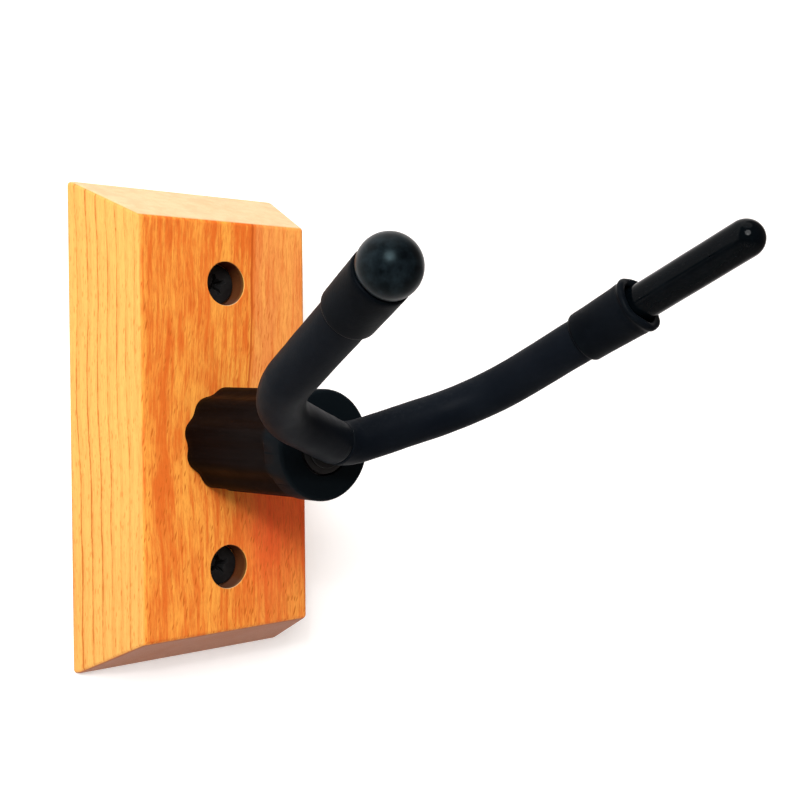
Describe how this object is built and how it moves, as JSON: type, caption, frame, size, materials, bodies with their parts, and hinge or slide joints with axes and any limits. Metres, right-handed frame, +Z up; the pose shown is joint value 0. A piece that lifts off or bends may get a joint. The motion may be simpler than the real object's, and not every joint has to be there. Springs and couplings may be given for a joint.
{
  "type": "wall guitar hanger",
  "caption": "Wall hanger for a guitar: bevelled hardwood block, fluted black stand-off and a rubber-sleeved yoke that swivels to cradle the headstock.",
  "frame": {"origin": "centre of the wooden block's back face, on the wall plane", "axes": "+Z up, +X to the right as seen from the room, +Y into the wall; the hanger sticks out along -Y"},
  "size_m": [0.0937, 0.1797, 0.127],
  "materials": {
    "beech": "satin lacquer, short dark flecks along the vertical grain",
    "black_plastic": "semi-matte moulded black",
    "black_rubber": "matte black tubing",
    "gloss_cap": "glossy black dipped vinyl",
    "black_rod": "black enamel on steel",
    "black_steel": "black phosphated steel",
    "zinc_steel": "zinc plated",
    "acetal": "black bearing plastic",
    "blue_nylon": "coloured nylon ring"
  },
  "bodies": {
    "base": {"wood_base": "beech", "fluted_hub": "black_plastic", "hub_rear_bush": "acetal", "hub_front_bush": "acetal", "hub_thrust_washer": "black_steel", "rear_flat_washer": "zinc_steel", "upper_wall_screw": "black_steel", "lower_wall_screw": "black_steel"},
    "yoke": {"yoke_stem": "black_rod", "yoke_rod": "black_rod", "left_sleeve": "black_rubber", "right_sleeve": "black_rubber", "left_cuff": "black_rubber", "right_cuff": "black_rubber", "left_end_cap": "gloss_cap", "right_end_cap": "gloss_cap", "spring_washer": "zinc_steel", "lock_nut": "zinc_steel", "nut_locking_ring": "blue_nylon"}
  },
  "joints": [
    {"name": "yoke_swivel", "type": "hinge", "parent": "base", "child": "yoke", "pos_m": [0, -0.0722, -0.0032], "axis": [0, -1, 0], "continuous": true}
  ]
}
